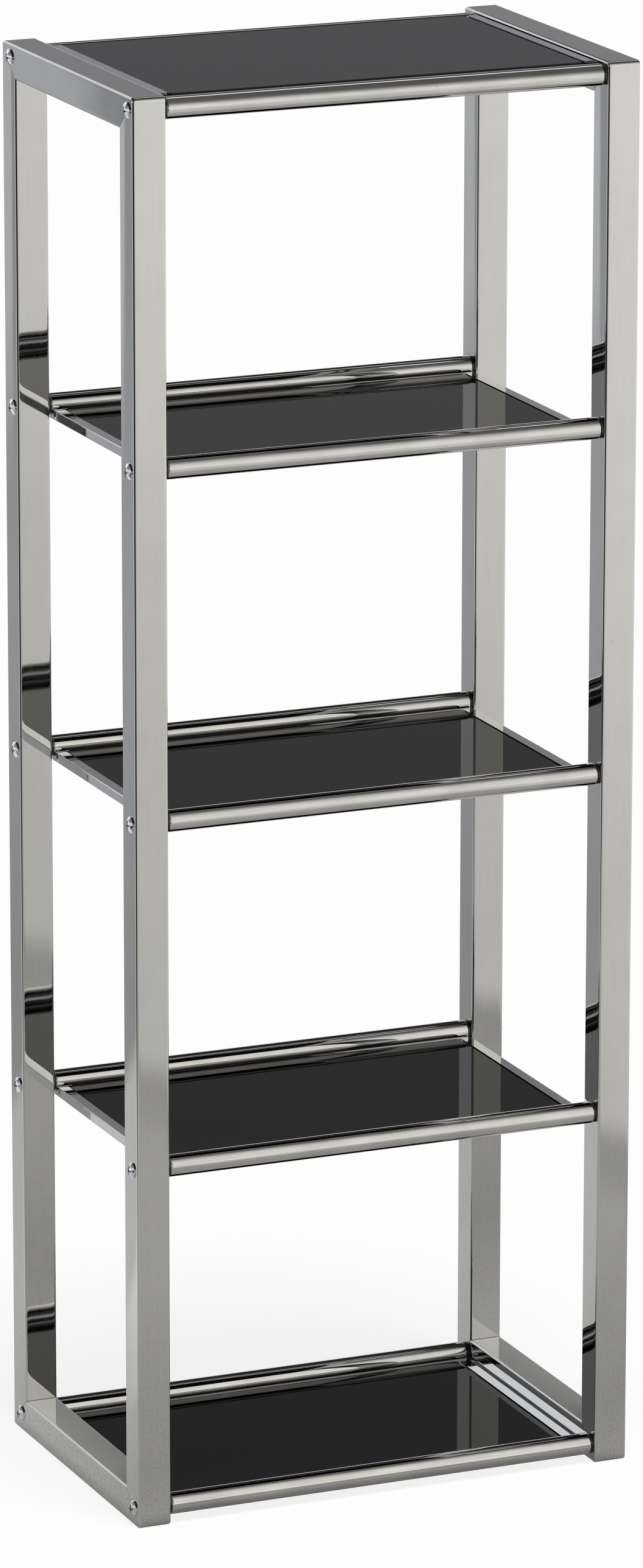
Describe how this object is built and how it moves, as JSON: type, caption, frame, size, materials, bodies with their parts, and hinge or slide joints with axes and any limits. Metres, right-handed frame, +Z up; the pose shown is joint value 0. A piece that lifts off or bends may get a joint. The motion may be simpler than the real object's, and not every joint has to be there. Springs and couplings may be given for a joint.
{
  "type": "etagere",
  "caption": "Tall free-standing etagere: mitred square-tube chrome side frames joined by round cross tubes, with black glass panes as open shelves.",
  "frame": {"origin": "on the floor, under the middle of the two side frames", "axes": "+Z up, +X to the right seen from the front, +Y to the back"},
  "size_m": [0.3928, 0.25, 1.046],
  "materials": {
    "frame_chrome": "polished chrome plate on square steel tube",
    "tube_chrome": "polished chrome plate on round steel tube",
    "channel_chrome": "polished chrome plate on folded steel",
    "black_glass": "opaque black glass, polished, ground edges",
    "screw_chrome": "chrome plated cross-recess screw",
    "collar": "black moulded plastic",
    "clear_pad": "clear soft pad"
  },
  "bodies": {
    "root": {"left_front_post": "frame_chrome", "left_back_post": "frame_chrome", "right_front_post": "frame_chrome", "right_back_post": "frame_chrome", "left_top_rail": "frame_chrome", "left_bottom_rail": "frame_chrome", "right_top_rail": "frame_chrome", "right_bottom_rail": "frame_chrome", "top_front_tube": "tube_chrome", "top_back_tube": "tube_chrome", "top_left_channel": "channel_chrome", "top_right_channel": "channel_chrome", "top_glass": "black_glass", "top_plugs": "collar", "top_screws": "screw_chrome", "top_pads": "clear_pad", "upper_front_tube": "tube_chrome", "upper_back_tube": "tube_chrome", "upper_left_channel": "channel_chrome", "upper_right_channel": "channel_chrome", "upper_glass": "black_glass", "upper_plugs": "collar", "upper_screws": "screw_chrome", "upper_pads": "clear_pad", "middle_front_tube": "tube_chrome", "middle_back_tube": "tube_chrome", "middle_left_channel": "channel_chrome", "middle_right_channel": "channel_chrome", "middle_glass": "black_glass", "middle_plugs": "collar", "middle_screws": "screw_chrome", "middle_pads": "clear_pad", "lower_front_tube": "tube_chrome", "lower_back_tube": "tube_chrome", "lower_left_channel": "channel_chrome", "lower_right_channel": "channel_chrome", "lower_glass": "black_glass", "lower_plugs": "collar", "lower_screws": "screw_chrome", "lower_pads": "clear_pad", "bottom_front_tube": "tube_chrome", "bottom_back_tube": "tube_chrome", "bottom_left_channel": "channel_chrome", "bottom_right_channel": "channel_chrome", "bottom_glass": "black_glass", "bottom_plugs": "collar", "bottom_screws": "screw_chrome", "bottom_pads": "clear_pad"}
  },
  "joints": []
}
